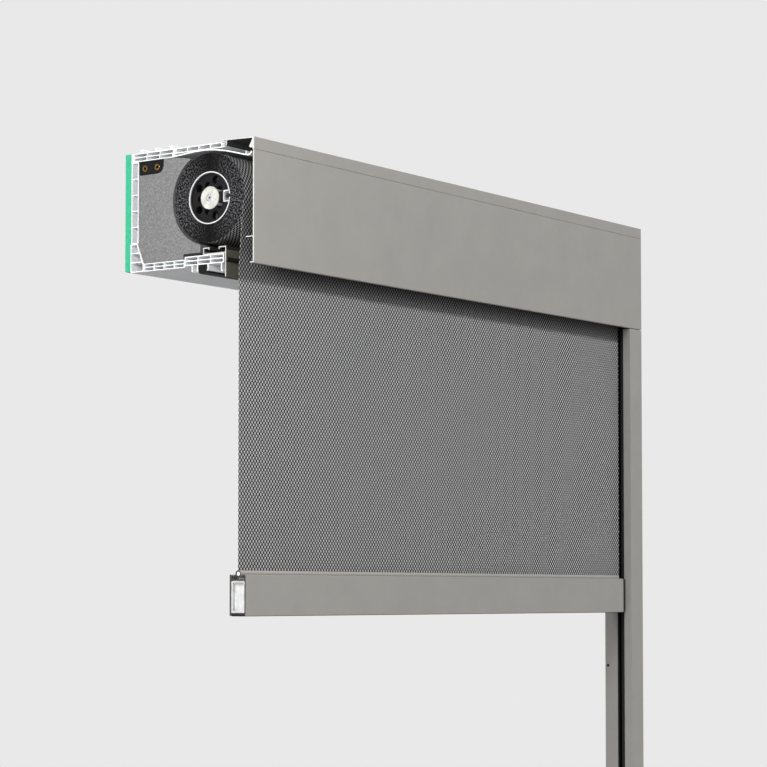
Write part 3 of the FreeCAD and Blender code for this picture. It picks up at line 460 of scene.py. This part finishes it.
def make_strip(name, steps, foot, head, material):
    """One strip of the hanging cloth between two points of its section."""
    run, rise = head[0] - foot[0], head[1] - foot[1]
    length = math.hypot(run, rise)
    outward = (-rise / length, run / length)
    across = stations(COLUMNS, WIDE[1] - WIDE[0])
    upward = stations(steps, length)
    verts, faces = [], []
    for side in (1, -1):
        for v in upward:
            y, z = foot[0] + v * run, foot[1] + v * rise
            for u in across:
                x = WIDE[0] + u * (WIDE[1] - WIDE[0])
                push = side * 0.5 * CLOTH + ripple(u, z)
                verts.append((x * MM, (y + outward[0] * push) * MM, (z + outward[1] * push) * MM))
    stride = len(across)
    layer = stride * len(upward)
    columns, rows = stride - 1, len(upward) - 1
    for j in range(rows):
        for i in range(columns):
            a = j * stride + i
            faces.append((a, a + 1, a + 1 + stride, a + stride))
            faces.append((layer + a, layer + a + stride, layer + a + 1 + stride, layer + a + 1))
    broad = len(faces)
    for i in range(columns):
        for a, flip in ((i, False), (rows * stride + i, True)):
            quad = (a, layer + a, layer + a + 1, a + 1)
            faces.append(quad[::-1] if flip else quad)
    for j in range(rows):
        for a, flip in ((j * stride, True), (j * stride + columns, False)):
            quad = (a, layer + a, layer + a + stride, a + stride)
            faces.append(quad[::-1] if flip else quad)
    mesh = bpy.data.meshes.new(name)
    mesh.from_pydata(verts, [], faces)
    mesh.update()
    for face in mesh.polygons:
        face.use_smooth = face.index < broad
    mesh.materials.append(material)
    obj = bpy.data.objects.new(name, mesh)
    bpy.context.scene.collection.objects.link(obj)
    return obj, length


def hang_screen():
    """The cloth as three strips that meet edge to edge."""
    material = hanging_cloth("hanging_cloth")
    for k, (name, steps) in enumerate(STRIPS):
        foot, head = SECTION[k], SECTION[k + 1]
        strip, length = make_strip(name, steps, foot, head, material)
        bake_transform(strip)
        if k == 0:
            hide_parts("screen_fabric")


hang_screen()


# ------------------------------------------------------------------ floor, light, camera
STAGE = (550.0, 40.0)
STAGE_RADIUS = 4300.0
STAGE_SIDES = 96
FLOOR_LEVEL = -1.1232
# Name, place, target (metres), diameter (metres) and power (watts) of each soft round lamp.
LIGHTS = [
    ("key", (1.0, -4.5, 4.3), (0.6, 0.0, -0.4), 1.1, 318),
    ("side", (-6.0, -0.4, 0.9), (0.0, 0.0, -0.2), 2.4, 158),
    ("rim", (3.2, -2.0, 1.4), (0.7, 0.0, -0.4), 1.6, 8),
    ("back", (0.6, 3.2, 1.2), (0.55, 0.1, -0.2), 1.6, 40),
    ("lamp", (-0.8, -0.26, 0.08), (0.02, 0.0, 0.0), 0.3, 6.8),
]
FILL_LIGHT, BACKDROP_LIGHT = 0.175, 0.815
CAMERA_PLACE = (-2.8081, -2.3269, -0.5856)
CAMERA_YAW, CAMERA_PITCH = math.radians(54.386), math.radians(2.768)


def stage_material():
    """Pale floor that fades out into the backdrop, and throws less light on the object than it shows."""
    s = Shader("studio")
    seen = s.add("ShaderNodeLightPath").outputs["Is Camera Ray"]
    pale = s.mix((0.8, 0.8, 0.8), (0.84, 0.84, 0.84), s.noise(900.0, 3.0))
    s.bump(s.noise(6.0, 2.0), 0.05, 0.2)
    base = s.mix((0.62, 0.62, 0.62), pale, seen)
    glow = s.math("MULTIPLY", seen, 0.2)
    s.finish(base, 0.7, 0.0, Emission_Color=(1.0, 1.0, 1.0, 1.0), Emission_Strength=glow)
    offsets = [s.math("SUBTRACT", s.axis(name), centre) for name, centre in zip("XY", STAGE)]
    squares = [s.math("MULTIPLY", offset, offset) for offset in offsets]
    radius = s.math("SQRT", s.math("ADD", *squares))
    rim = s.ramp(radius, 0.4 * STAGE_RADIUS, 0.97 * STAGE_RADIUS)
    fade = s.math("MULTIPLY", rim, s.math("SUBTRACT", 2.0, rim))
    gone = s.math("MAXIMUM", fade, s.geometry.outputs["Backfacing"])
    mixed = s.add("ShaderNodeMixShader")
    s.link(gone, mixed.inputs[0])
    s.link(s.bsdf.outputs[0], mixed.inputs[1])
    s.link(s.add("ShaderNodeBsdfTransparent").outputs[0], mixed.inputs[2])
    s.link(mixed.outputs[0], s.tree.nodes["Material Output"].inputs["Surface"])
    return s.mat


def make_floor():
    verts = []
    for k in range(STAGE_SIDES):
        angle = 2 * math.pi * k / STAGE_SIDES
        x = (STAGE[0] + STAGE_RADIUS * math.cos(angle)) * MM
        y = (STAGE[1] + STAGE_RADIUS * math.sin(angle)) * MM
        verts.append((x, y, FLOOR_LEVEL))
    mesh = bpy.data.meshes.new("floor")
    mesh.from_pydata(verts, [], [tuple(range(STAGE_SIDES))])
    obj = bpy.data.objects.new("floor", mesh)
    bpy.context.scene.collection.objects.link(obj)
    mesh.materials.append(stage_material())


def area_light(name, place, target, size, power):
    data = bpy.data.lights.new(name, "AREA")
    data.shape = "DISK"
    data.size = size
    data.energy = power
    obj = bpy.data.objects.new(name, data)
    obj.location = place
    obj.rotation_mode = "QUATERNION"
    obj.rotation_quaternion = (Vector(target) - Vector(place)).to_track_quat("-Z", "Y")
    bpy.context.scene.collection.objects.link(obj)


def make_world():
    """Dim fill light on the object, and a pale backdrop straight behind it from any side."""
    world = bpy.data.worlds.new("studio")
    world.use_nodes = True
    tree = world.node_tree
    backdrop = tree.nodes["Background"]
    path = tree.nodes.new("ShaderNodeLightPath")
    strength = tree.nodes.new("ShaderNodeMapRange")
    strength.inputs["To Min"].default_value = FILL_LIGHT
    strength.inputs["To Max"].default_value = BACKDROP_LIGHT
    tree.links.new(path.outputs["Is Camera Ray"], strength.inputs["Value"])
    tree.links.new(strength.outputs["Result"], backdrop.inputs["Strength"])
    backdrop.inputs["Color"].default_value = (1.0, 1.0, 1.0, 1.0)
    bpy.context.scene.world = world
    bpy.context.scene.view_settings.view_transform = "Standard"


def make_camera():
    data = bpy.data.cameras.new("camera")
    data.sensor_width = 36.0
    data.lens = 116.717
    data.shift_y = 0.12
    data.clip_start = 0.05
    data.clip_end = 60.0
    camera = bpy.data.objects.new("camera", data)
    camera.location = CAMERA_PLACE
    level = math.cos(CAMERA_PITCH)
    aim = Vector((math.sin(CAMERA_YAW) * level, math.cos(CAMERA_YAW) * level, math.sin(CAMERA_PITCH)))
    camera.rotation_mode = "QUATERNION"
    camera.rotation_quaternion = aim.to_track_quat("-Z", "Y")
    bpy.context.scene.collection.objects.link(camera)
    bpy.context.scene.camera = camera


make_floor()
for row in LIGHTS:
    area_light(*row)
make_world()
make_camera()
